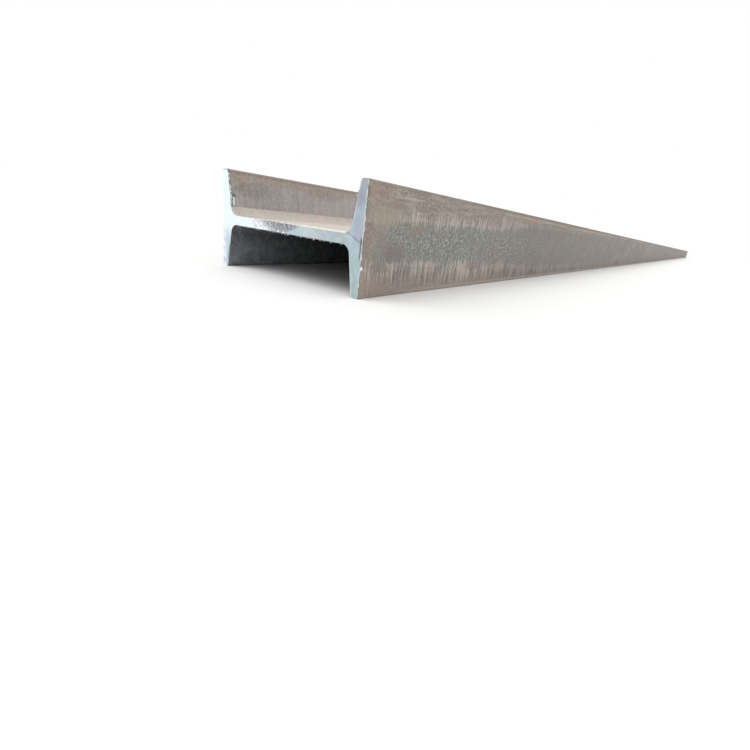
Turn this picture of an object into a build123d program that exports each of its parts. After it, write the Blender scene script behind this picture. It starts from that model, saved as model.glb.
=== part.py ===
"""Hot-rolled steel I-beam with tapered flanges, sawn square at both ends. Sizes are in millimetres.

The beam lies as stock is stored: on the toes of its two flanges, with the web level between them.
+X runs across the section from flange to flange, +Y along the length, +Z up.
The origin is under the middle of the beam, on the level that the flange toes rest on.
"""

import os

from build123d import *

# Driving dimensions of the rolled section
section_height = 200.0  # over the outer faces of the two flanges
flange_width = 102.0  # from toe to toe of one flange
web_thickness = 9.5  # 9.0 nominal, rolled slightly full as the photographed ends are
flange_thickness = 12.0  # mean, half way between the web and the toe; 11.4 nominal, rolled full
flange_slope = 1 / 6  # how fast a flange thickens from its toe towards the web
root_radius = 9.0  # fillet between the web and the inner face of a flange
toe_radius = 3.0  # rounding of the toe on the inner face
outer_edge_radius = 1.5  # the slight rounding that the rolls leave on the outer corners

# Length as sold
beam_length = 9000.0

# The flange tapers about its mean thickness, so its toe is thinner and its root thicker
half_width = flange_width / 2
half_web = web_thickness / 2
taper_change = flange_slope * (half_width - half_web) / 2
toe_thickness = flange_thickness - taper_change
root_thickness = flange_thickness + taper_change

# Corners of one quarter of the section, measured from the middle of the web
outer_face = section_height / 2
root_corner = (outer_face - root_thickness, half_web)
inner_toe_corner = (outer_face - toe_thickness, half_width)
outer_toe_corner = (outer_face, half_width)

# The section stands upright across the length, with its centre half a flange above the floor
section_plane = Plane(origin=(0, 0, half_width), x_dir=(1, 0, 0), z_dir=(0, -1, 0))


def corner(quarter, place):
    """Return the vertex of the quarter section that lies nearest to a named corner."""
    return quarter.vertices().sort_by_distance((*place, 0))[0]


with BuildSketch() as quarter_section:
    with BuildLine():
        Polyline(
            (0, 0),
            (outer_face, 0),
            outer_toe_corner,
            inner_toe_corner,
            root_corner,
            (0, half_web),
            close=True,
        )
    make_face()
    fillet(corner(quarter_section, root_corner), radius=root_radius)
    fillet(corner(quarter_section, inner_toe_corner), radius=toe_radius)
    fillet(corner(quarter_section, outer_toe_corner), radius=outer_edge_radius)

with BuildPart() as i_beam:
    with BuildSketch(section_plane):
        add(quarter_section.sketch)
        mirror(about=Plane.XZ)
        mirror(about=Plane.YZ)
    extrude(amount=beam_length / 2, both=True)

i_beam.part.label = "i_beam"

os.makedirs("parts", exist_ok=True)
export_step(i_beam.part, "parts/i_beam.step")
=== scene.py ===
"""Looks of a hot-rolled steel I-beam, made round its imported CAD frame. Sizes are in metres.

The beam lies along Y on the toes of its two flanges. Its near sawn end is at the lowest Y, the
web lies level between the flanges, and the flange that the camera sees whole is at the highest X.
"""

import logging
import math
import random
from collections.abc import Callable
from dataclasses import dataclass
from enum import Enum
from functools import cached_property, reduce

import bmesh
import bpy
from mathutils import Matrix, Vector


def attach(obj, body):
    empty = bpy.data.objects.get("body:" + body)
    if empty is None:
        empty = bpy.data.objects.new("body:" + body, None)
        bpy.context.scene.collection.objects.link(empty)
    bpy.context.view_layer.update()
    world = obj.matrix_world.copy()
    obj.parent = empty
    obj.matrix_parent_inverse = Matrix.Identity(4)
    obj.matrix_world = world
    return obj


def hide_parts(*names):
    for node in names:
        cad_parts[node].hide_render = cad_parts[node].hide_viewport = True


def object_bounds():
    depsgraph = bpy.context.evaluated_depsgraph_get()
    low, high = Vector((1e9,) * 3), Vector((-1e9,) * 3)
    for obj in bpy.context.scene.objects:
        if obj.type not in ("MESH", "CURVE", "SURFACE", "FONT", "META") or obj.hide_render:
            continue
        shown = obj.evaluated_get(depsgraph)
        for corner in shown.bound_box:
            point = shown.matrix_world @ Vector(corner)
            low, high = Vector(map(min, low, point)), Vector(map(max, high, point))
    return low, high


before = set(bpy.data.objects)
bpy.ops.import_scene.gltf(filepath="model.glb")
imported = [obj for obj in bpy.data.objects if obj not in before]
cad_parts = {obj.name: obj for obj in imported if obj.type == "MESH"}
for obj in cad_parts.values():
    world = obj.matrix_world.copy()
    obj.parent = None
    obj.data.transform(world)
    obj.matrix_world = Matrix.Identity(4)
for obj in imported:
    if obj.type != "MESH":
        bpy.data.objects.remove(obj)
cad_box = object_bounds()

log = logging.getLogger("i_beam_scene")

NODE = "i_beam"
BODY = "root"
SHINE = "shine"
MM = 0.001
FACING = 0.9  # a face looks along an axis when its normal's share of it is above this

Socket = bpy.types.NodeSocket
Piece = bpy.types.Object
Pair = tuple[float, float]
Triple = tuple[float, float, float]
Tint = tuple[int, int, int]
Colour = tuple[float, float, float, float]
Part = bmesh.types.BMFace | bmesh.types.BMEdge


class Slot(Enum):
    """The finish that a face of the beam wears, as the number of its material slot."""

    OUTER = 0
    INNER = 1
    SAWN = 2


def paint(red: int, green: int, blue: int) -> Colour:
    """Turn a colour as the eye sees it into the linear colour that a shader takes.

    Args:
        red: How much red, from 0 to 255.
        green: How much green, from 0 to 255.
        blue: How much blue, from 0 to 255.

    Returns:
        The linear colour, opaque.
    """
    shares = (red / 255, green / 255, blue / 255)
    linear = [
        share / 12.92 if share <= 0.04045 else ((share + 0.055) / 1.055) ** 2.4 for share in shares
    ]
    return (*linear, 1.0)


class Value:
    """A number, place or colour of a material, which can differ from point to point.

    Plus, minus, times, divided by and abs work on it as on a plain number.
    """

    def __init__(self, mix: "Recipe", source: "Feed") -> None:
        """Keep the recipe that it belongs to, and the socket or constant that gives it."""
        self.mix = mix
        self.source = source

    def __add__(self, other: "Feed") -> "Value":
        """Add a number."""
        return self.mix.sum("ADD", self, other)

    def __sub__(self, other: "Feed") -> "Value":
        """Take a number away."""
        return self.mix.sum("SUBTRACT", self, other)

    def __rsub__(self, other: "Feed") -> "Value":
        """Take this away from a number."""
        return self.mix.sum("SUBTRACT", other, self)

    def __mul__(self, other: "Feed") -> "Value":
        """Multiply by a number."""
        return self.mix.sum("MULTIPLY", self, other)

    def __truediv__(self, other: "Feed") -> "Value":
        """Divide by a number."""
        return self.mix.sum("DIVIDE", self, other)

    def __abs__(self) -> "Value":
        """Drop the sign."""
        return self.mix.sum("ABSOLUTE", self)

    def swing(self, reach: float) -> "Value":
        """Turn a pattern of about 0.5 into one of about 0 that reaches so far each way."""
        return self.mix.sum("MULTIPLY_ADD", self, 2 * reach, -reach)

    def rise(self, low: float, high: float, start: float = 0.0, end: float = 1.0) -> "Value":
        """Go smoothly from start to end while this goes from low to high, or down to it."""
        feeds = {"Value": self, "From Min": low, "From Max": high, "To Min": start, "To Max": end}
        return self.mix.value("ShaderNodeMapRange", feeds, interpolation_type="SMOOTHSTEP")

    def hump(self, low: float, top_low: float, top_high: float, high: float) -> "Value":
        """Return 1 where this is between two middle numbers and 0 where it is past two outer ones."""
        return self.rise(low, top_low) * self.rise(high, top_high)

    def blend(self, other: "Feed", share: "Feed") -> "Value":
        """Mix a share, from 0 to 1, of another colour into this one."""
        feeds = {0: share, 6: self, 7: other}
        return self.mix.value("ShaderNodeMix", feeds, 2, data_type="RGBA")

    def coat(self, tint: Tint, cover: "Feed") -> "Value":
        """Lay a tint over this colour, which hides a share of it."""
        return self.blend(paint(*tint), cover)

    def wash(self, tint: Tint, value: "Value", low: float, high: float, cover: float = 1.0) -> "Value":
        """Lay a tint over this colour where a value has gone from low to high, or down to it."""
        return self.coat(tint, value.rise(low, high, 0.0, cover))

    def mottle(
        self, pattern: "Value", low: Pair, low_tint: Tint, high: Pair, high_tint: Tint, cover: "Feed"
    ) -> "Value":
        """Lay one tint where a pattern has fallen through a range, and another where it has risen.

        Args:
            pattern: The pattern.
            low: The range in which the first tint comes in, from its upper end.
            low_tint: The first tint.
            high: The range in which the second tint comes in.
            high_tint: The second tint.
            cover: How much of this colour they hide.

        Returns:
            The mottled colour.
        """
        lows, highs = pattern.rise(*low) * cover, pattern.rise(*high) * cover
        return self.coat(low_tint, lows).coat(high_tint, highs)

    def marked(self, marks: "tuple[Blotch, ...]", along: "Value", up: "Value", ragged: "Value") -> "Value":
        """Lay marks over this colour."""
        return reduce(lambda colour, mark: mark.lay(colour, along, up, ragged), marks, self)


Feed = Value | Socket | float | Triple | Colour


class Recipe:
    """A material or a room being mixed, one node at a time, on a piece's Object coordinates."""

    def __init__(self, owner: bpy.types.Material | bpy.types.World) -> None:
        """Start with no nodes.

        Args:
            owner: The material or the room.
        """
        owner.use_nodes = True
        self.owner = owner
        self.tree = owner.node_tree
        self.tree.nodes.clear()

    def node(self, kind: str, feeds: dict[int | str, Feed], **settings: str) -> bpy.types.Node:
        """Add a node.

        Args:
            kind: The node's type.
            feeds: What feeds its inputs, by their names or numbers.
            **settings: The node's own settings, by name.

        Returns:
            The new node.
        """
        made = self.tree.nodes.new(kind)
        for name, setting in settings.items():
            setattr(made, name, setting)
        for name, feed in feeds.items():
            source = feed.source if isinstance(feed, Value) else feed
            if isinstance(source, Socket):
                self.tree.links.new(source, made.inputs[name])
            else:
                made.inputs[name].default_value = source
        return made

    def value(
        self, kind: str, feeds: dict[int | str, Feed], output: int | str = 0, **settings: str
    ) -> Value:
        """Add a node and return what one of its outputs gives."""
        return Value(self, self.node(kind, feeds, **settings).outputs[output])

    @cached_property
    def at(self) -> Value:
        """Where a point of the piece is."""
        return self.value("ShaderNodeTexCoord", {}, "Object")

    @cached_property
    def axes(self) -> tuple[Value, ...]:
        """How far across, along and up a point of the piece is."""
        outputs = self.node("ShaderNodeSeparateXYZ", {0: self.at}).outputs
        return tuple(Value(self, output) for output in outputs)

    def colour(self, red: int, green: int, blue: int) -> Value:
        """Start a colour from what the eye sees, in 255ths."""
        return Value(self, paint(red, green, blue))

    def sum(self, kind: str, *numbers: Feed) -> Value:
        """Work out a sum of the given kind."""
        return self.value("ShaderNodeMath", dict(enumerate(numbers)), operation=kind)

    def vector(self, x: Feed, y: Feed, z: Feed) -> Value:
        """Join three numbers into a place."""
        return self.value("ShaderNodeCombineXYZ", {0: x, 1: y, 2: z})

    def noise(
        self, at: Value, per_unit: Triple, shift: Triple = (0, 0, 0), detail: float = 2, rough: float = 0.5
    ) -> Value:
        """Add a soft random pattern.

        Args:
            at: The place that it is laid on.
            per_unit: How many of its features fit a unit along each axis.
            shift: What picks another part of the pattern.
            detail: How many finer layers it has.
            rough: How strong the finer layers are.

        Returns:
            A number of about 0.5.
        """
        place = self.value("ShaderNodeMapping", {"Vector": at, "Scale": per_unit, "Location": shift})
        feeds = {"Vector": place, "Scale": 1.0, "Detail": detail, "Roughness": rough}
        return self.value("ShaderNodeTexNoise", feeds)

    def relief(self, height: Value, depth: float, strength: float) -> Value:
        """Make a bump from a height of 0 to 1, which is so deep and shows so much."""
        feeds = {"Height": height, "Distance": depth, "Strength": strength}
        return self.value("ShaderNodeBump", feeds)

    def finish(
        self, colour: Feed, roughness: Feed, metallic: float, normal: Value | None = None, gloss: float = 0.5
    ) -> bpy.types.Material:
        """End the recipe in one shader.

        Args:
            colour: The base colour.
            roughness: How dull it is.
            metallic: How metallic it is, the same all over.
            normal: The bent normal, if there is one.
            gloss: How much its skin mirrors, the same all over.

        Returns:
            The material.
        """
        feeds = {"Base Color": colour, "Roughness": roughness, "Metallic": metallic}
        feeds["Specular IOR Level"] = gloss
        if normal is not None:
            feeds["Normal"] = normal
        shader = self.node("ShaderNodeBsdfPrincipled", feeds)
        self.node("ShaderNodeOutputMaterial", {"Surface": shader.outputs[0]})
        return self.owner


class RolledRecipe(Recipe):
    """A material of the rolled faces, with its marks placed from the near cut."""

    def __init__(self, name: str, near_end: float) -> None:
        """Start the material.

        Args:
            name: Its name.
            near_end: The Y of the near cut.
        """
        super().__init__(bpy.data.materials.new(name))
        self.along = self.axes[1] - near_end

    @cached_property
    def drawn(self) -> Value:
        """Where a point is, with the logarithm of its distance from the cut as its way along.

        The features of a pattern on it grow longer with that distance. The scale flaked off in fine
        strokes where the beam was handled most, which was by the cut.

        Returns:
            The drawn out place.
        """
        x, _, z = self.axes
        off_cut = self.sum("MAXIMUM", self.along + 0.1, 0.01)
        return self.vector(x, self.sum("LOGARITHM", off_cut, math.e), z)


@dataclass(frozen=True)
class RolledSection:
    """The rolled section."""

    height: float  # over the outer faces of the two flanges
    flange_width: float  # from toe to toe of one flange
    web: float = 9.5 * MM  # thickness of the web
    flange: float = 12 * MM  # mean thickness of a flange
    slope: float = 1 / 6  # how fast a flange thickens from its toe towards the web
    root_radius: float = 9 * MM  # fillet between the web and a flange
    toe_radius: float = 3 * MM  # rounding of a toe on the inner face
    outer_radius: float = 1.5 * MM  # rounding of a toe on the outer face

    @property
    def middle(self) -> float:
        """Height of the middle of the web above the floor."""
        return self.flange_width / 2

    @property
    def outer(self) -> float:
        """How far a flange's outer face is from the middle."""
        return self.height / 2

    @property
    def taper(self) -> float:
        """How much a flange's toe is thinner than its mean, and its root thicker."""
        return self.slope * (self.flange_width - self.web) / 4

    @property
    def toe_face(self) -> float:
        """How far a flange's inner face is from the middle at its toe."""
        return self.outer - self.flange + self.taper

    @property
    def root_face(self) -> float:
        """How far it is from the middle at the web."""
        return self.outer - self.flange - self.taper

    def setback(self, radius: float) -> float:
        """Return how far from a corner of the sloped face its rounding starts."""
        return radius / math.tan((math.pi / 2 + math.atan(self.slope)) / 2)


def deselect() -> None:
    """Deselect every object."""
    bpy.ops.object.select_all(action="DESELECT")


def edit(piece: Piece, mode: str) -> None:
    """Open a piece in edit mode, with nothing in it selected.

    Args:
        piece: The piece.
        mode: What is picked there: VERT, EDGE or FACE.
    """
    deselect()
    piece.select_set(True)
    bpy.context.view_layer.objects.active = piece
    bpy.ops.object.mode_set(mode="EDIT")
    bpy.ops.mesh.select_mode(type=mode)
    bpy.ops.mesh.select_all(action="DESELECT")


def close_edit() -> None:
    """Go back to object mode."""
    bpy.ops.object.mode_set(mode="OBJECT")


def pick(piece: Piece, kind: str, wanted: Callable[[Part], bool]) -> None:
    """Select only the faces or edges of the open piece that pass a test.

    Args:
        piece: The piece that is open in edit mode.
        kind: What is picked: faces or edges.
        wanted: The test.
    """
    mesh = bmesh.from_edit_mesh(piece.data)
    parts = getattr(mesh, kind)
    for part in parts:
        part.select_set(False)
    for part in parts:
        if wanted(part):
            part.select_set(True)
    bmesh.update_edit_mesh(piece.data)


def pick_edges(piece: Piece, wanted: Callable[[Vector, Vector], bool]) -> None:
    """Select only the edges of the open piece whose two ends pass a test."""
    pick(piece, "edges", lambda edge: wanted(edge.verts[0].co, edge.verts[1].co))


def near(first: float, second: float) -> bool:
    """Return whether two lengths are the same to a hundredth of a millimetre."""
    return abs(first - second) < 0.01 * MM


@dataclass(frozen=True)
class Blotch:
    """An oval mark with a ragged rim on a rolled or sawn face."""

    middle: Pair  # where it is: how far along the beam or across it, and how high, in millimetres
    reach: Pair  # how far it reaches each way from there, in millimetres
    tint: Tint  # its colour, as the eye sees it
    cover: float  # how much of what lies under it is hidden
    rim: Pair = (1.5, 0.2)  # where it ends and where it is whole, as squares of its reach

    def lay(self, under: Value, along: Value, up: Value, ragged: Value) -> Value:
        """Lay the mark over a colour.

        Args:
            under: The colour under it.
            along: How far along or across a point is, in metres.
            up: How high it is, in metres.
            ragged: A pattern of about 0 that frays the rim.

        Returns:
            The colour with the mark.
        """
        wide, high = (
            (value - middle * MM) / (reach * MM)
            for value, middle, reach in zip((along, up), self.middle, self.reach, strict=True)
        )
        span = wide * wide + high * high + ragged
        return under.coat(self.tint, span.rise(*self.rim) * self.cover)


@dataclass(frozen=True)
class MillScale:
    """The dull oxide skin of the rolled faces."""

    section: RolledSection
    near_end: float  # the Y of the near cut, from which the marks are placed
    band_low: float = 30.5 * MM  # where the grey-green band of an outer face ends below, near the cut
    band_high: float = 70.5 * MM  # where it ends above, near the cut
    widening: Pair = (12 * MM, 16.5 * MM)  # how much further it reaches down and up, half a metre on
    # The marks near the cut on the outer faces of the flanges
    outer_marks: tuple[Blotch, ...] = (
        Blotch((32, 76), (26, 13), (158, 149, 132), 0.75),
        Blotch((5, 56), (8, 28), (139, 124, 115), 0.45),
        Blotch((14, 92), (12, 6), (160, 134, 124), 0.55),
        Blotch((48, 84), (22, 3), (138, 122, 118), 0.55),
        Blotch((50, 40), (19, 9), (126, 114, 112), 0.80),
        Blotch((30, 27), (18, 5), (124, 113, 106), 0.60),
        Blotch((86, 64), (17, 4), (142, 127, 117), 0.55),
        Blotch((150, 62), (15, 4), (140, 127, 120), 0.45),
        Blotch((244, 26), (28, 6), (129, 116, 110), 0.65),
        Blotch((20, 10), (22, 8), (158, 138, 122), 0.55),
        Blotch((2, 93), (3, 6), (118, 119, 98), 0.70),
        Blotch((330, 22), (30, 5), (166, 152, 130), 0.45),
    )
    # The rust spots and pale scrapes along the upper toe of the outer faces
    toe_marks: tuple[Blotch, ...] = (
        Blotch((76, 92), (22, 1.3), (186, 178, 164), 0.60),
        Blotch((225, 96), (34, 1.3), (170, 148, 122), 0.50),
        Blotch((450, 96), (58, 1.6), (180, 150, 116), 0.55),
        Blotch((885, 95), (60, 2.5), (182, 146, 108), 0.70),
    )
    # The marks near the cut in the troughs
    inner_marks: tuple[Blotch, ...] = (
        Blotch((34, 84), (26, 9), (136, 137, 129), 0.55),
        Blotch((12, 92), (9, 8), (152, 136, 118), 0.50),
        Blotch((150, 90), (40, 7), (150, 143, 131), 0.40),
    )

    def outer(self) -> bpy.types.Material:
        """Mix the outer flange face: a grey-green band with combed edges between tan-grey margins.

        Returns:
            The material.
        """
        mix = RolledRecipe("mill_scale_outer", self.near_end)
        along, up = mix.along, mix.axes[2]
        cloud = mix.noise(mix.at, (8, 9, 30), detail=3, rough=0.6)
        thin = mix.noise(mix.drawn, (8, 80, 28), (3, 6, -3), rough=0.7)
        grain = mix.noise(mix.drawn, (260, 56, 330), (7, 14, -7), rough=0.65)
        ragged = mix.noise(mix.at, (20, 110, 90), (2, 3, 1), detail=4, rough=0.75).swing(1.9)
        banded, teeth, gaps = self.band_edges(mix, cloud, thin)
        colour = (
            self.margin(mix, cloud, thin, grain)
            .coat((176, 162, 156), up.rise(0.030, 0.016) * along.rise(0.20, 0.45, 0.25, 0.0))
            .coat((112, 103, 98), gaps * 0.70)
            .coat((188, 177, 172), teeth * along.rise(0.20, 0.50, 0.78, 0.36))
            .blend(self.band(mix, thin, grain), banded)
            .marked(self.outer_marks, along, up, ragged)
            .mottle(grain, (0.47, 0.38), (108, 99, 93), (0.53, 0.62), (180, 174, 166), 0.16)
            .wash((98, 82, 73), along, 0.18, 0.50, 0.30)
            .blend(self.far_part(mix), along.rise(0.45, 1.6, 0.0, 0.80))
        )
        colour = self.toe_lines(mix, cloud, colour).marked(self.toe_marks, along, up, ragged)
        normal = mix.relief(grain * 0.6 + thin * 0.4, 0.25 * MM, 0.5)
        return mix.finish(colour, grain.rise(0.3, 0.7, 0.5, 0.66), 0.25, normal)

    def band_edges(self, mix: RolledRecipe, cloud: Value, thin: Value) -> tuple[Value, Value, Value]:
        """Work out where the grey-green band lies and how its edges are combed.

        Args:
            mix: The material being mixed.
            cloud: A pattern of wide clouds.
            thin: A pattern of thin upright streaks.

        Returns:
            The share of the band, of the pale teeth on its two edges and of the dark gaps under it.
        """
        along, up = mix.along, mix.axes[2]
        comb = mix.noise(mix.drawn, (8, 18, 14), rough=0.7) * 0.30 + thin * 0.70
        opening = along.rise(0.1, 0.6)
        down, upward = self.widening
        top = opening * upward + self.band_high + cloud.swing(0.008) + comb.swing(-0.022)
        low = opening * -down + self.band_low + cloud.swing(-0.008) + comb.swing(0.026)
        over, under = up - top, low - up
        inside = over.rise(0.002, -0.002) * under.rise(0.002, -0.002)
        start = up.rise(0.048, 0.064, 0.0, 0.024) + cloud.swing(0.05) + 0.006
        started = (along - start).rise(-0.004, 0.012)
        worn = mix.noise(mix.at, (4, 1.7, 14), (0, 7, 0), detail=4, rough=0.65)
        held = (worn + along.rise(0.5, 1.6, 0.30, -0.04)).rise(0.44, 0.60)
        above, below = (
            (comb - past * steep).rise(0.44, 0.50) * past.rise(-0.002, 0.0)
            for past, steep in ((over, 7), (under, 5))
        )
        gaps = comb.rise(0.50, 0.43) * under.hump(-0.001, 0.001, 0.010, 0.022)
        return inside * started * held, above + below, gaps

    def margin(self, mix: RolledRecipe, cloud: Value, thin: Value, grain: Value) -> Value:
        """Mix the bare margins of an outer flange face: mottled, and streaked lengthwise at the top.

        Args:
            mix: The material being mixed.
            cloud: A pattern of wide clouds.
            thin: A pattern of thin upright streaks.
            grain: A fine pattern.

        Returns:
            The colour.
        """
        up = mix.axes[2]
        tint = mix.noise(mix.at, (30, 34, 60), (4, 4, 0), rough=0.6)
        rolled = mix.noise(mix.drawn, (8, 7, 240), (5, 10, -5), rough=0.6)
        high = up.rise(0.076, 0.086)
        specked = mix.along.rise(0.03, 0.25, 0.42, 0.26)
        return (
            mix.colour(143, 133, 126)
            .wash((155, 145, 138), cloud, 0.38, 0.62)
            .wash((150, 145, 134), tint, 0.42, 0.62, 0.45)
            .wash((146, 130, 124), tint, 0.58, 0.40, 0.40)
            .coat((162, 146, 131), up.rise(0.084, 0.098) * cloud.rise(0.40, 0.60) * 0.5)
            .coat((120, 111, 105), thin.rise(0.50, 0.36) * (1.0 - high) * 0.40)
            .mottle(rolled, (0.47, 0.36), (122, 111, 107), (0.54, 0.66), (176, 166, 154), high * 0.5)
            .mottle(grain, (0.47, 0.38), (108, 99, 93), (0.53, 0.63), (182, 174, 165), specked)
        )

    def toe_lines(self, mix: RolledRecipe, cloud: Value, under: Value) -> Value:
        """Lay the lines along the two edges of an outer flange face.

        Args:
            mix: The material being mixed.
            cloud: A pattern of wide clouds.
            under: The colour under them.

        Returns:
            The colour.
        """
        along, up = mix.along, mix.axes[2]
        beyond = along.rise(0.16, 0.26)
        fading = along.rise(0.6, 3.0, 1.0, 0.35)
        broken = mix.noise(mix.drawn, (5, 9, 5), (6, 12, -6), detail=3).rise(0.34, 0.56)
        off_line = up + along.rise(0.30, 0.80, 0.0, 0.0012) + cloud.swing(0.0012)
        toe = off_line.rise(0.0974, 0.0990) * (beyond * 0.30 + 0.30)
        line = off_line.hump(0.0944, 0.0958, 0.0970, 0.0984) * beyond * broken
        rim = up.hump(0.0005, 0.0015, 0.0040, 0.0055) * along.rise(0.05, 0.12)
        return (
            under.coat((130, 121, 111), toe * fading)
            .coat((184, 173, 158), line * fading * 0.70)
            .coat((176, 166, 156), rim * fading * 0.60)
        )

    def far_part(self, mix: RolledRecipe) -> Value:
        """Mix the outer face far from the cut: pinkish grey with grey-green and pale patches.

        Args:
            mix: The material being mixed.

        Returns:
            The colour.
        """
        patches = mix.noise(mix.drawn, (3, 11, 26), (2, 4, -2), detail=3, rough=0.65)
        streaks = mix.noise(mix.drawn, (8, 50, 34), (9, 18, -9), rough=0.7)
        strokes = mix.noise(mix.at, (40, 190, 14), (3, 1, 2), detail=3, rough=0.65)
        specks = mix.noise(mix.at, (330, 330, 330), (1, 4, 2), rough=0.6)
        return (
            mix.colour(117, 111, 106)
            .wash((130, 119, 115), patches, 0.40, 0.54)
            .wash((158, 147, 143), patches, 0.56, 0.68, 0.7)
            .mottle(streaks, (0.48, 0.38), (110, 103, 98), (0.53, 0.63), (170, 160, 156), 0.45)
            .mottle(strokes, (0.49, 0.38), (98, 91, 86), (0.51, 0.62), (166, 156, 151), 0.32)
            .mottle(specks, (0.47, 0.37), (92, 86, 81), (0.53, 0.63), (172, 163, 158), 0.30)
        )

    def band(self, mix: RolledRecipe, thin: Value, grain: Value) -> Value:
        """Mix the grey-green band that was dressed across, with its clusters of specks.

        Args:
            mix: The material being mixed.
            thin: A pattern of thin upright streaks.
            grain: A fine pattern.

        Returns:
            The colour.
        """
        brown = mix.noise(mix.at, (9, 20, 34), (5, 1, 2), detail=3, rough=0.6)
        clusters = mix.noise(mix.at, (10, 16, 30), (9, 2, 0), rough=0.6).rise(0.42, 0.56)
        middle = mix.axes[2].hump(0.030, 0.042, 0.060, 0.072)
        speckled = (clusters * middle * 0.58 + 0.42) * 0.80
        rubbed = thin.rise(0.48, 0.60) * mix.along.rise(0.12, 0.45, 0.10, 0.60)
        return (
            mix.colour(126, 127, 120)
            .wash((138, 138, 131), thin, 0.36, 0.62)
            .mottle(grain, (0.47, 0.39), (96, 99, 93), (0.53, 0.62), (176, 178, 171), speckled)
            .wash((136, 125, 119), brown, 0.55, 0.66, 0.6)
            .coat((150, 141, 135), rubbed)
        )

    def inner(self) -> bpy.types.Material:
        """Mix the faces of the troughs: brown-grey flanges, a web painted paler as light from above and
        sheen, with a sharp border, and painted shade in the lower trough.

        Returns:
            The material.
        """
        mix = RolledRecipe("mill_scale_inner", self.near_end)
        along, (x, _, up) = mix.along, mix.axes
        level = self.section.middle
        off_web, shaded = abs(up - level), up.rise(level, level - 2 * MM)
        cloud = mix.noise(mix.at, (9, 6, 22), detail=3, rough=0.55)
        streaks = mix.noise(mix.at, (40, 190, 14), detail=3, rough=0.65)
        grain = mix.noise(mix.at, (330, 330, 330), rough=0.6)
        ragged = mix.noise(mix.at, (20, 110, 90), (2, 3, 1), detail=4, rough=0.75).swing(2.0)
        mottled = mix.noise(mix.at, (70, 120, 130), (7, 2, 5), detail=3, rough=0.65)
        flange = (
            mix.colour(173, 168, 168)
            .wash((183, 177, 177), cloud, 0.35, 0.65)
            .wash((140, 133, 129), streaks, 0.40, 0.60, 0.38)
            .wash((196, 191, 192), along, 0.06, 0.20, 0.50)
            .marked(self.inner_marks, along, up, ragged)
            .wash((166, 150, 133), up, 0.086, 0.096, 0.5)
            .wash((128, 118, 106), up, 0.0975, 0.0990, 0.45)
        )
        # Painted shade for the lower trough under the web: darker towards the web, and mottled
        painted_trough_shade = (
            mix.colour(120, 128, 134)
            .wash((60, 67, 75), up, 0.008, 0.044)
            .wash((42, 48, 54), mottled, 0.50, 0.40, 0.40)
            .wash((150, 156, 152), mottled, 0.50, 0.62, 0.30)
        )
        beyond = (along + cloud.swing(0.30)).rise(0.20, 1.80, 0.0, 0.9)
        # A dark bluish line along the cut on the upper inside of the far flange, under its torn lip: oxide
        # and painted shadow of the lip
        oxide_and_lip_shadow = (along + grain.swing(0.002)).rise(0.0022, 0.0008)
        far_flange = up.rise(0.062, 0.068) * x.rise(0.0, -0.01)
        # The web's painted light and sheen stays on its upper side and fades into the flange tone away from
        # the cut
        colour = (
            self.web(mix, off_web.rise(0.0057, 0.0048), streaks, cloud)
            .blend(flange.coat((136, 129, 124), 0.75), beyond)
            .blend(flange, shaded * 0.6)
            .blend(flange, off_web.rise(0.0130, 0.0142))
            .wash((205, 198, 190), grain, 0.52, 0.62, 0.18)
            .wash((112, 104, 98), grain, 0.48, 0.38, 0.14)
            # painted shade under the web, strongest by the cut and weaker along the beam
            .blend(painted_trough_shade, shaded * along.rise(0.20, 0.70, 0.8, 0.25))
            .coat((74, 84, 98), oxide_and_lip_shadow * far_flange * 0.85)
        )
        normal = mix.relief(grain * 0.6 + streaks * 0.4, 0.1 * MM, 0.1)
        return mix.finish(colour, grain.rise(0.3, 0.7, 0.60, 0.74), 0.0, normal, gloss=0.0)

    def web(self, mix: RolledRecipe, flat: Value, streaks: Value, cloud: Value) -> Value:
        """Mix the web, painted pale as light from above and sheen, with its greenish and pinkish clouds, a
        painted highlight in a strip by the cut and a painted highlight at its corner by the near flange.

        Args:
            mix: The material being mixed.
            flat: Whether a point is on the flat of the web rather than on a root.
            streaks: A pattern of cross streaks.
            cloud: A pattern of wide clouds.

        Returns:
            The colour.
        """
        x, along = mix.axes[0], mix.along
        tint = mix.noise(mix.at, (45, 60, 45), (1, 8, 3), rough=0.6)
        right = (x + streaks.swing(0.02)).rise(0.020, 0.064)
        highlight_by_cut = (along + cloud.swing(0.06)).rise(0.14, 0.03)
        corner = x.rise(0.052, 0.074) * along.rise(0.050, 0.010)
        # A pale tone painted as light from above and sheen; the flat is painted less pale than the roots
        return (
            mix.colour(207, 200, 193)
            .wash((219, 212, 205), streaks, 0.35, 0.65)
            .wash((222, 209, 198), cloud, 0.40, 0.62, 0.4)
            .mottle(tint, (0.47, 0.36), (230, 208, 194), (0.53, 0.64), (212, 214, 200), 0.5)
            .coat((182, 174, 166), flat * 0.32)
            # painted highlight in a strip along the cut, on the near side of the web's flat
            .coat((246, 238, 227), right * flat * highlight_by_cut * 0.30)
            # painted highlight at the web's corner by the near flange, at the cut
            .coat((254, 250, 243), corner * 0.85)
        )


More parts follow.
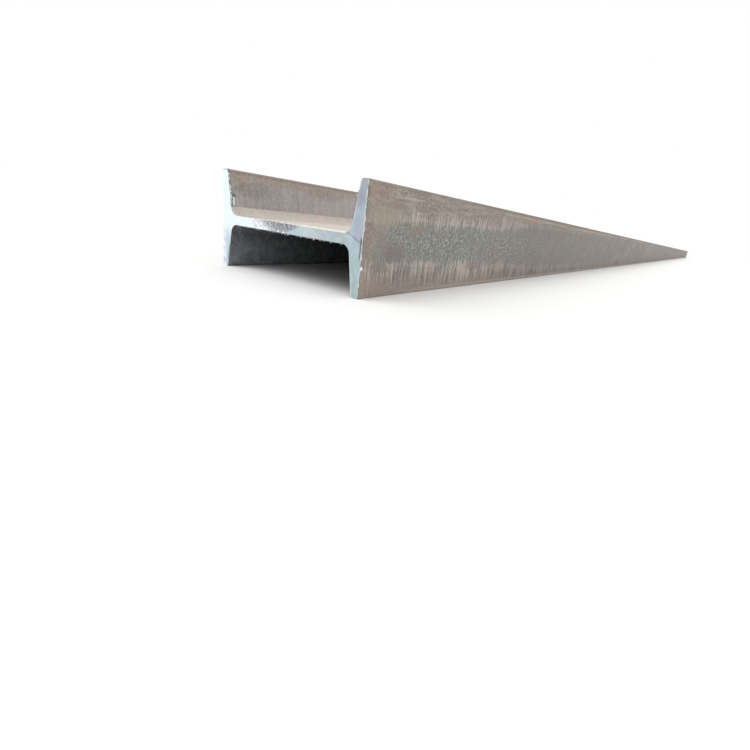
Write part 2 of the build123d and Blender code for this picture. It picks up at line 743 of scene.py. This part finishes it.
@dataclass(frozen=True)
class SawnSteel:
    """Bare steel that a large circular saw has cut."""

    section: RolledSection
    # Where the middle of the blade was, across and up, so that its marks are arcs
    blade: Pair = (-0.345, -0.275)
    # The marks on the cut, placed across and up
    marks: tuple[Blotch, ...] = (
        Blotch((84, 54), (4, 2), (200, 211, 220), 0.4),
        Blotch((93, 86), (3, 9), (150, 150, 168), 0.4),
        Blotch((91, 66), (3, 7), (162, 158, 176), 0.3),
        Blotch((92, 31), (4, 6), (164, 189, 178), 0.6),
        Blotch((-9.4, 47.3), (2.4, 1.2), (250, 246, 240), 1.0),
        Blotch((-2.0, 46.9), (2.0, 1.0), (248, 248, 248), 1.0),
        Blotch((-90.8, 15.5), (2, 3), (198, 216, 204), 0.6),
        Blotch((-96, 102), (7, 1.6), (196, 206, 198), 0.7),
        Blotch((96, 102), (7, 1.6), (164, 170, 162), 0.7),
    )

    def mixed(self) -> bpy.types.Material:
        """Mix the sawn face: bright on one side, bluer on the other, with a patch of saw marks.

        Returns:
            The material.
        """
        mix = Recipe(bpy.data.materials.new("sawn_steel"))
        x, y, z = mix.axes
        across, up = x - self.blade[0], z - self.blade[1]
        swept = mix.vector(mix.sum("SQRT", across * across + up * up), x - z, y)
        lines = mix.noise(swept, (1150, 180, 3), rough=0.65)
        fine = mix.noise(swept, (1500, 60, 3), rough=0.6)
        cloud = mix.noise(mix.at, (60, 3, 60))
        tint = mix.noise(mix.at, (190, 3, 240), detail=4, rough=0.7)
        duller = x.rise(-0.02, 0.02) * 0.60
        # From bright at low X to bluer grey at high X: partly the finish of different saw passes, partly
        # painted reflection
        colour = (
            mix.colour(236, 250, 251)
            .wash((193, 204, 207), x, -0.050, 0.012)
            .wash((168, 179, 183), x, 0.020, 0.082)
            .mottle(tint, (0.50, 0.36), (202, 213, 207), (0.50, 0.64), (164, 190, 208), duller)
        )
        colour = self.left_flange(mix, self.right_flange(mix, cloud, colour))
        colour = (
            self.scored(mix, lines, cloud, colour)
            .marked(self.marks, x, z, cloud.swing(0.8))
            .wash((150, 156, 166), fine, 0.4, 0.65, 0.16)
        )
        normal = mix.relief(lines, 0.15 * MM, 0.35)
        return mix.finish(colour, lines.rise(0.3, 0.7, 0.34, 0.50), 0.7, normal)

    def left_flange(self, mix: Recipe, under: Value) -> Value:
        """Tint the lower cut of the far flange: hatched pinkish by its outer face, bluer inside.

        Args:
            mix: The material being mixed.
            under: The colour under it.

        Returns:
            The colour.
        """
        x, _, z = mix.axes
        low = z.rise(0.050, 0.028)
        hatch = mix.noise(mix.vector(x + z, x - z, 0.0), (300, 60, 1))
        stripes = mix.colour(200, 198, 218).wash((236, 243, 248), hatch, 0.42, 0.56)
        outside = x.rise(-0.0940, -0.0965)
        inside = (1.0 - outside) * x.rise(-0.084, -0.089)
        return under.blend(stripes, low * outside * 0.85).coat((190, 208, 220), low * inside * 0.90)

    def right_flange(self, mix: Recipe, cloud: Value, under: Value) -> Value:
        """Tint the cut of the near flange, where the blade came through in a step, with painted highlights
        along its edges and a painted shade in a recess.

        Args:
            mix: The material being mixed.
            cloud: A pattern of clouds.
            under: The colour under it.

        Returns:
            The colour.
        """
        (x, _, z), section = mix.axes, self.section
        tint = mix.noise(mix.at, (260, 0, 110), rough=0.6)
        upper = (
            mix.colour(167, 178, 190)
            .wash((179, 193, 204), cloud, 0.40, 0.60)
            .mottle(tint, (0.48, 0.40), (162, 188, 191), (0.52, 0.60), (186, 172, 195), 0.7)
            .wash((144, 151, 159), z, 0.074, 0.086, 0.6)
            .wash((162, 171, 177), z, 0.088, 0.097, 0.6)
        )
        lower = mix.colour(172, 190, 194).mottle(
            tint, (0.48, 0.40), (160, 184, 178), (0.52, 0.60), (184, 200, 212), 0.6
        )
        step = z + x * 0.444
        over = step.rise(0.0930, 0.0942) * x.rise(0.078, 0.084)
        below = step.rise(0.0930, 0.0915) * x.rise(0.074, 0.086)
        seam = step.hump(0.0915, 0.0923, 0.0932, 0.0944) * x.rise(0.072, 0.078)
        off_web = abs(z - section.middle) - section.web / 2
        off_root = x - off_web * section.slope - section.root_face
        # A pale line where the cut meets the flange's inner face: painted highlight of the sawn edge
        root_edge_highlight = off_root.hump(-0.001, 0.0, 0.0006, 0.0016) * off_web.rise(0.008, 0.014)
        # A dark strip just inside the outer edge, half way up: painted shade
        painted_recess_shade = x.hump(0.0966, 0.0974, 0.0984, 0.0990) * z.hump(0.033, 0.038, 0.052, 0.056)
        # A broken pale line along the outer edge: painted highlight of the sawn edge
        wavy = x + mix.noise(z, (160, 160, 160), detail=1).swing(0.0012)
        lengths = z.rise(0.031, 0.035) + z.hump(0.004, 0.008, 0.024, 0.028)
        broken = mix.noise(mix.at, (0, 0, 150), rough=0.6).rise(0.42, 0.54, 0.15, 0.9)
        return (
            under.blend(upper, over)
            .blend(lower, below)
            .coat((136, 140, 156), seam * 0.8)
            .coat((208, 218, 212), root_edge_highlight * 0.6)
            .coat((84, 84, 98), painted_recess_shade * 0.8)
            .coat((222, 227, 216), wavy.rise(0.0987, 0.0994) * lengths * broken)
        )

    def scored(self, mix: Recipe, lines: Value, cloud: Value, under: Value) -> Value:
        """Lay the patch of deep saw marks over the web: pale flares, then dark, then a wedge.

        Args:
            mix: The material being mixed.
            lines: The pattern of the marks.
            cloud: A pattern of clouds.
            under: The colour under it.

        Returns:
            The colour.
        """
        x, _, z = mix.axes
        flare = mix.colour(198, 200, 218).wash((252, 252, 255), lines, 0.43, 0.55)
        deep = mix.colour(104, 104, 110).wash((184, 187, 195), lines, 0.43, 0.58)
        on_web = z.hump(0.040, 0.044, 0.058, 0.062)
        shifted = x + (z - self.section.middle) * 1.2 + cloud.swing(0.006)
        flares = shifted.hump(-0.052, -0.044, -0.026, -0.016)
        wedge = (z - (x * 0.33 + 0.0470)).rise(-0.001, 0.001)
        clear = mix.sum("MAXIMUM", wedge, x.rise(0.002, -0.012))
        dark = shifted.hump(-0.036, -0.018, 0.012, 0.030) * clear * z.rise(0.044, 0.053, 0.60, 0.95)
        blue = (1.0 - wedge) * x.hump(-0.006, 0.004, 0.018, 0.030)
        return (
            under.blend(flare, flares * on_web * 0.9)
            .blend(deep, dark * on_web)
            .coat((176, 196, 210), blue * on_web * 0.6)
        )

    def burr(self) -> bpy.types.Material:
        """Mix the torn lip round a cut: bright crests with dark oxide and painted shade in the folds.

        Returns:
            The material.
        """
        mix = Recipe(bpy.data.materials.new("burr_steel"))
        x, _, z = mix.axes
        low, near_side = z.rise(0.0790, 0.0775), x.rise(-0.070, -0.030)
        bright = mix.colour(208, 214, 224).coat((196, 206, 196), low).coat((248, 244, 232), near_side)
        # The fold's dark tint is oxide and painted shade
        fold = mix.colour(66, 76, 92).coat((96, 105, 97), low).coat((58, 64, 72), near_side)
        torn = mix.noise(mix.at, (420, 420, 420)).swing(0.35)
        shine = mix.value("ShaderNodeAttribute", {}, "Fac", attribute_name=SHINE)
        return mix.finish(fold.blend(bright, (shine + torn).rise(0.25, 0.65)), 0.4, 0.4)


@dataclass
class RolledBeam:
    """The beam itself: one length of rolled steel, sawn square at both ends."""

    section: RolledSection
    length: float  # the length as sold
    bays: int = 18  # how many bays the length is divided into
    inner_rim: float = 2 * MM  # how far out from a toe's inner face it still looks like the inside

    def build(self) -> Piece:
        """Model the beam from a bar the size of its web.

        Returns:
            The closed mesh, at the origin.
        """
        section = self.section
        deselect()
        web_size = (2 * section.root_face, self.length, section.web)
        bpy.ops.mesh.primitive_cube_add(size=1, location=(0, 0, section.middle), scale=web_size)
        beam = bpy.context.object
        beam.name = beam.data.name = "rolled_beam"
        bpy.ops.object.transform_apply(location=True, rotation=True, scale=True)
        edit(beam, "FACE")
        for side in (-1, 1):
            pick(beam, "faces", lambda face, side=side: face.normal.x * side > FACING)
            out = side * (section.outer - section.root_face)
            bpy.ops.mesh.extrude_region_move(TRANSFORM_OT_translate={"value": (out, 0, 0)})
        for up in (-1, 1):
            pick(
                beam, "faces",
                lambda face, up=up: face.normal.z * up > FACING
                and abs(face.calc_center_median().x) > section.root_face,
            )
            rise = up * (section.flange_width - section.web) / 2
            bpy.ops.mesh.extrude_region_move(TRANSFORM_OT_translate={"value": (0, 0, rise)})
        self.taper_flanges(beam)
        self.clear_ends(beam)
        self.round_corners(beam)
        self.cut_bays()
        close_edit()
        bpy.ops.object.shade_smooth_by_angle(angle=math.radians(30))
        return beam

    def taper_flanges(self, beam: Piece) -> None:
        """Move the inner edges of the toes outwards, so that each flange thins towards its toes.

        Args:
            beam: The open beam.
        """
        section = self.section
        bpy.ops.mesh.select_mode(type="EDGE")
        for side in (-1, 1):
            pick_edges(
                beam,
                lambda start, end, side=side: near(start.x, end.x) and near(start.z, end.z)
                and near(start.x, side * section.root_face)
                and near(abs(start.z - section.middle), section.middle),
            )
            bpy.ops.transform.translate(value=(side * (section.toe_face - section.root_face), 0, 0))

    def clear_ends(self, beam: Piece) -> None:
        """Make each end one face, by taking out the edges that the extrusions left inside it."""
        pick(beam, "edges", lambda edge: all(abs(face.normal.y) > FACING for face in edge.link_faces))
        bpy.ops.mesh.dissolve_edges(use_verts=False)

    def round_corners(self, beam: Piece) -> None:
        """Round the roots and the toes.

        Args:
            beam: The open beam.
        """
        section = self.section
        # For each, how far it is across and up from the middle, its setback and its faces
        corners = (
            (section.root_face, section.web / 2, section.setback(section.root_radius), 8),
            (section.toe_face, section.middle, section.setback(section.toe_radius), 6),
            (section.outer, section.middle, section.outer_radius, 4),
        )
        for across, up, offset, segments in corners:
            pick_edges(
                beam,
                lambda start, end, across=across, up=up: not near(start.y, end.y)
                and near(abs(start.x), across) and near(abs(start.z - section.middle), up),
            )
            bpy.ops.mesh.bevel(
                offset_type="OFFSET", offset=offset, segments=segments, profile=0.5, affect="EDGES"
            )

    def cut_bays(self) -> None:
        """Divide the length of the open beam, so that no face is much longer than the section."""
        for cut in range(1, self.bays):
            bpy.ops.mesh.select_all(action="SELECT")
            place = self.length * (cut / self.bays - 0.5)
            bpy.ops.mesh.bisect(plane_co=(0, place, 0), plane_no=(0, 1, 0))

    def dress(self, beam: Piece, scale: MillScale, sawn: SawnSteel) -> None:
        """Give each face its finish by the way it looks.

        Args:
            beam: The beam.
            scale: The finish of the rolled faces.
            sawn: The finish of the cut ends.
        """
        for material in (scale.outer(), scale.inner(), sawn.mixed()):
            beam.data.materials.append(material)
        for face in beam.data.polygons:
            if abs(face.normal.y) > FACING:
                face.material_index = Slot.SAWN.value
            elif abs(face.center.x) > self.section.toe_face + self.inner_rim:
                face.material_index = Slot.OUTER.value
            else:
                face.material_index = Slot.INNER.value


@dataclass(frozen=True)
class TornEdge:
    """A straight edge of the cut along which the saw left a lip."""

    start: Pair  # one end of it, across and up
    end: Pair  # its other end, across and up
    out: Pair  # the way off the steel, across and up
    reach: float  # how far the lip stands off the cut
    lean: float  # how far the lip leans off the steel
    tooth: float  # how long one tooth of it is
    bare: float  # the share of its teeth that are worn down
    least: float = 0.0  # how high a worn tooth still is, as a share of the whole
    # The dark of a fold is oxide and painted shade.
    dark: float = 0.0  # how far off the steel its fold is dark
    bright: float = 1.0  # how bright its crest is, from 0 to 1


@dataclass(frozen=True)
class TornFlake:
    """A curl of steel that the saw left hanging at the rim of the cut."""

    # Its shape seen from above: how far across, and how far off the cut, in millimetres
    fold: tuple[Pair, ...]
    low: float  # height of its lower end, in millimetres
    high: float  # height of its upper end, in millimetres
    plate: float = 0.6  # how thick it is, in millimetres
    bright: float = 0.85  # how bright its crest is, from 0 to 1
    rows: int = 8  # how many faces it is high
    fray: float = 0.5  # how far its free edge strays, in millimetres
    narrowing: float = 0.35  # how much less it stands out at its two ends, as a share
    # The dark of a fold is oxide and painted shade.
    dark: float = -0.9  # how far off the cut its fold is dark, in millimetres
    gleam: float = 1.5  # how far past its dark fold it is fully bright, in millimetres


@dataclass
class SawBurr:
    """The torn lips and flakes round one sawn end."""

    name: str  # the piece's name
    cut: float  # the Y of the cut
    way: int  # the way off the steel along Y, 1 or -1
    edges: tuple[TornEdge, ...]  # the edges that have a lip
    flakes: tuple[TornFlake, ...]  # the flakes that hang at the rim
    seed: int  # what the teeth are drawn from
    plate: float = 0.25 * MM  # how thick a lip is
    # How far a lip's root lies inside the steel, from its skin and from the cut
    sunk: Pair = (0.35 * MM, 0.5 * MM)
    # How far its foot stands out of the steel, from its skin and from the cut
    foot: Pair = (0.12 * MM, 0.02 * MM)
    gleam: float = 0.4 * MM  # how far past its dark fold a lip is fully bright
    per_tooth: int = 4  # how many faces a tooth is long
    whole: Pair = (0.7, 1.0)  # the least and the most height of a tooth that isn't worn down
    stray: float = 0.08  # how far the height strays from face to face
    worn: float = 0.05  # the height up to which it doesn't stray
    halfway: Pair = (0.5, 0.6)  # how much of its lean and reach a lip has half way up

    def build(self) -> Piece:
        """Model each lip and flake as a strip and join them.

        Returns:
            The burr, at the origin.
        """
        draw = random.Random(self.seed)
        strips = [self.strip(edge, draw) for edge in self.edges]
        strips += [self.curl(flake, draw) for flake in self.flakes]
        deselect()
        for strip in strips:
            strip.select_set(True)
        bpy.context.view_layer.objects.active = strips[0]
        bpy.ops.object.join()
        burr = bpy.context.object
        burr.name = burr.data.name = self.name
        edit(burr, "FACE")
        bpy.ops.mesh.select_all(action="SELECT")
        bpy.ops.mesh.normals_make_consistent(inside=False)
        close_edit()
        bpy.ops.object.shade_smooth_by_angle(angle=math.radians(40))
        return burr

    def bent(self, spots: dict[tuple[int, int], tuple[Triple, float]], thickness: float) -> Piece:
        """Bend a grid to shape and turn it into a closed plate.

        Args:
            spots: For each column and row of the grid, how far across, off the cut and up the point
                there goes, and how bright it is.
            thickness: How thick the plate is.

        Returns:
            The plate.
        """
        deselect()
        steps, rows = max(spots)
        bpy.ops.mesh.primitive_grid_add(x_subdivisions=steps, y_subdivisions=rows, size=1)
        plate = bpy.context.object
        shine = plate.data.attributes.new(SHINE, "FLOAT", "POINT")
        for point in plate.data.vertices:
            column, row = round((point.co.x + 0.5) * steps), round((point.co.y + 0.5) * rows)
            (across, off, up), bright = spots[column, row]
            point.co = (across, self.cut + self.way * off, up)
            shine.data[point.index].value = max(0.0, bright)
        solid = plate.modifiers.new("plate", "SOLIDIFY")
        solid.thickness = thickness
        solid.offset = 0.0
        bpy.ops.object.modifier_apply(modifier=solid.name)
        return plate

    def strip(self, edge: TornEdge, draw: random.Random) -> Piece:
        """Model the lip along one edge.

        Args:
            edge: The edge.
            draw: Where the random numbers come from.

        Returns:
            The closed strip.
        """
        start, end = Vector(edge.start), Vector(edge.end)
        teeth = max(3, round((end - start).length / edge.tooth))
        steps = self.per_tooth * teeth
        heights = [
            edge.least if tooth % 2 == 0 or draw.random() < edge.bare else draw.uniform(*self.whole)
            for tooth in range(teeth + 1)
        ]
        wobble = [draw.uniform(-self.stray, self.stray) for _ in range(steps + 1)]
        (sunk_out, sunk_off), (foot_out, foot_off) = self.sunk, self.foot
        spots = {}
        for column in range(steps + 1):
            tooth = min(column // self.per_tooth, teeth - 1)
            share = column / self.per_tooth - tooth
            height = heights[tooth] * (1 - share) + heights[tooth + 1] * share
            height = max(0.0, height + wobble[column] * (height > self.worn))
            lean, reach = edge.lean * height, edge.reach * height
            outs = (-sunk_out, foot_out, foot_out + self.halfway[0] * lean, lean)
            offs = (-sunk_off, foot_off, self.halfway[1] * reach, reach)
            skin = start.lerp(end, column / steps)
            for row, (out, off) in enumerate(zip(outs, offs, strict=True)):
                place = (skin.x + edge.out[0] * out, off, skin.y + edge.out[1] * out)
                spots[column, row] = (place, min(edge.bright, (out - edge.dark) / self.gleam))
        return self.bent(spots, self.plate)

    def curl(self, flake: TornFlake, draw: random.Random) -> Piece:
        """Model one flake.

        Args:
            flake: The flake.
            draw: Where the random numbers come from.

        Returns:
            The closed flake.
        """
        steps, rows = len(flake.fold) - 1, flake.rows
        frays = [draw.uniform(-flake.fray, flake.fray) for _ in range(rows + 1)]
        root = flake.fold[0][0]
        spots = {}
        for column, (across, off) in enumerate(flake.fold):
            for row, fray in enumerate(frays):
                narrow = 1 - flake.narrowing * (2 * row / rows - 1) ** 2 * column / steps
                frayed = root + (across - root) * narrow + fray * column / steps
                up = flake.low + (flake.high - flake.low) * row / rows
                place = (frayed * MM, off * narrow * MM, up * MM)
                spots[column, row] = (place, min(flake.bright, (off - flake.dark) / flake.gleam))
        return self.bent(spots, flake.plate * MM)

    def dress(self, burr: Piece, sawn: SawnSteel) -> None:
        """Give the burr its finish."""
        burr.data.materials.append(sawn.burr())


@dataclass
class Viewpoint:
    """The camera, at the photograph's viewing angle."""

    place: Triple = (0.3406, -4.8094, 0.0743)  # where it stands
    turn: float = 34.269  # how far it is turned from looking along Y towards -X, in degrees
    tilt: float = 20.355  # how far it looks down, in degrees
    roll: float = 7.023  # how far it is turned about its own line of sight, in degrees
    lens: float = 20.614  # the focal length for a 36 mm wide picture, in millimetres

    def build(self) -> None:
        """Add the camera and make it the scene's."""
        data = bpy.data.cameras.new("viewpoint")
        data.lens = self.lens
        data.sensor_width = 36.0
        data.clip_start = 0.01
        data.clip_end = 200.0
        camera = bpy.data.objects.new("viewpoint", data)
        bpy.context.scene.collection.objects.link(camera)
        camera.matrix_world = (
            Matrix.Translation(self.place)
            @ Matrix.Rotation(math.radians(self.turn), 4, "Z")
            @ Matrix.Rotation(math.radians(90 - self.tilt), 4, "X")
            @ Matrix.Rotation(math.radians(self.roll), 4, "Z")
        )
        bpy.context.scene.camera = camera


@dataclass
class Studio:
    """A plain pale floor and plain soft light."""

    floor_side: float = 120.0  # side of the floor
    sky: float = 0.85  # how bright the room is all round
    sun: float = 1.4  # how strong the soft main light is
    sun_place: Triple = (-0.5, -0.8, 1.3)  # the way to the main light
    sun_size: float = 50.0  # how wide the main light is, in degrees

    def build(self) -> None:
        """Add the floor, the main light and the room."""
        self.add_floor()
        self.add_sun()
        self.add_room()

    def add_floor(self) -> None:
        """Add the floor, which isn't part of the object."""
        deselect()
        bpy.ops.mesh.primitive_plane_add(size=self.floor_side)
        floor = bpy.context.object
        floor.name = "studio_floor"
        mix = Recipe(bpy.data.materials.new("studio_floor"))
        floor.data.materials.append(mix.finish(paint(240, 240, 239), 0.9, 0.0))

    def add_sun(self) -> None:
        """Add the main light."""
        data = bpy.data.lights.new("soft_light", "SUN")
        data.energy = self.sun
        data.angle = math.radians(self.sun_size)
        lamp = bpy.data.objects.new("soft_light", data)
        bpy.context.scene.collection.objects.link(lamp)
        lamp.matrix_world = Vector(self.sun_place).to_track_quat("Z", "Y").to_matrix().to_4x4()

    def add_room(self) -> None:
        """Make the room light the object evenly and look white where it is seen."""
        mix = Recipe(bpy.data.worlds.new("studio_room"))
        rays = mix.node("ShaderNodeLightPath", {}).outputs
        seen = mix.sum("MAXIMUM", rays["Is Camera Ray"], rays["Is Glossy Ray"])
        strength = mix.node("ShaderNodeMapRange", {"Value": seen, "To Min": self.sky, "To Max": 1.0})
        feeds = {"Color": paint(255, 255, 255), "Strength": strength.outputs[0]}
        light = mix.node("ShaderNodeBackground", feeds)
        mix.node("ShaderNodeOutputWorld", {"Surface": light.outputs[0]})
        bpy.context.scene.world = mix.owner


def join_frame(piece: Piece) -> None:
    """Let a piece move with the beam's body.

    Args:
        piece: The piece, in place.
    """
    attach(piece, BODY)
    log.info("%s: %d faces", piece.name, len(piece.data.polygons))


def torn_edges(section: RolledSection) -> tuple[TornEdge, ...]:
    """List the edges of the near cut that have a lip.

    Args:
        section: The rolled section.

    Returns:
        The edges.
    """
    toe, root, top = section.toe_face, section.root_face, section.flange_width
    web_top, web_low = section.middle + section.web / 2, section.middle - section.web / 2
    lean_in = (toe - root) / (top - web_top)

    def on_flange(side: int, up: float) -> Pair:
        """Return where a flange's upper inner face is at a height."""
        return (side * (root + (up - web_top) * lean_in), up)

    return (
        TornEdge(
            on_flange(-1, top - 3 * MM), on_flange(-1, web_top + 22 * MM), (1, 0),
            reach=0.3 * MM, lean=3.6 * MM, tooth=2.2 * MM, bare=0.1, least=0.25, dark=0.6 * MM,
        ),
        TornEdge(
            (-0.014, web_top), (0.024, web_top), (0, 1),
            reach=0.4 * MM, lean=1.3 * MM, tooth=3 * MM, bare=0.4, dark=-1.0 * MM,
        ),
        TornEdge(
            (0.022, web_top), (root - 7 * MM, web_top), (0, 1),
            reach=0.4 * MM, lean=1.5 * MM, tooth=6 * MM, bare=0.0, least=0.6, dark=-1.0 * MM,
        ),
        TornEdge(
            (-root + 8 * MM, web_low), (root - 8 * MM, web_low), (0, -1),
            reach=0.5 * MM, lean=1.3 * MM, tooth=2.2 * MM, bare=0.3, least=0.2,
            dark=0.5 * MM, bright=0.5,
        ),
        TornEdge(
            (section.outer, 98 * MM), (section.outer, 8 * MM), (1, 0),
            reach=0.6 * MM, lean=0.6 * MM, tooth=4 * MM, bare=0.45, dark=0.1 * MM,
        ),
        TornEdge(
            on_flange(1, 92 * MM), on_flange(1, web_top + 12 * MM), (-1, 0),
            reach=0.4 * MM, lean=0.9 * MM, tooth=4 * MM, bare=0.35, dark=0.2 * MM,
        ),
        TornEdge(
            (-toe - 0.3 * MM, 8 * MM), (-toe + 3 * MM, 24 * MM), (1, 0),
            reach=0.6 * MM, lean=0.8 * MM, tooth=4 * MM, bare=0.1, dark=0.2 * MM,
        ),
    )


def near_flakes() -> tuple[TornFlake, ...]:
    """List the flakes at the near cut: a double curl inside the far flange, a chip on the other.

    Returns:
        The flakes.
    """
    first = ((-87.2, -0.4), (-86.2, 0.6), (-85.0, 0.9), (-84.0, 0.2), (-83.2, -1.4))
    second = ((-83.0, -1.8), (-82.2, -0.4), (-81.0, 0.8), (-79.8, 0.8), (-78.8, -0.4))
    above = ((-84.6, -0.9), (-82.8, -1.1), (-81.0, -1.3), (-79.6, -1.8))
    below = ((-85.6, -0.6), (-84.0, -1.0), (-82.4, -1.1), (-81.0, -0.9))
    chip = ((99.2, -0.4), (100.4, 0.4), (101.6, 0.5), (102.6, 0.1))
    return (
        TornFlake(first, 66.5, 77.3, bright=0.6),
        TornFlake(second, 65.6, 74.4),
        TornFlake(above, 74.2, 77.4, bright=0.2),
        TornFlake(below, 64.8, 66.2, bright=0.2),
        TornFlake(chip, 26.0, 29.6, plate=1.2, bright=0.5),
    )


def main() -> None:
    """Build the camera, the beam, its burrs and the studio, in that order."""
    logging.basicConfig(level=logging.INFO, format="%(name)s: %(message)s")
    bpy.context.scene.view_settings.view_transform = "Standard"
    Viewpoint().build()
    lows, highs = cad_box
    section = RolledSection(height=highs[0] - lows[0], flange_width=highs[2] - lows[2])
    scale, sawn = MillScale(section, near_end=lows[1]), SawnSteel(section)
    maker = RolledBeam(section, length=highs[1] - lows[1])
    beam = maker.build()
    maker.dress(beam, scale, sawn)
    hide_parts(NODE)
    join_frame(beam)
    edges = torn_edges(section)
    near_burr = SawBurr("burr_near", lows[1], -1, edges, near_flakes(), seed=4)
    far_burr = SawBurr("burr_far", highs[1], 1, edges[2:5], (), seed=9)
    for burr_maker in (near_burr, far_burr):
        burr = burr_maker.build()
        burr_maker.dress(burr, sawn)
        join_frame(burr)
    Studio().build()


if __name__ == "__main__":
    main()
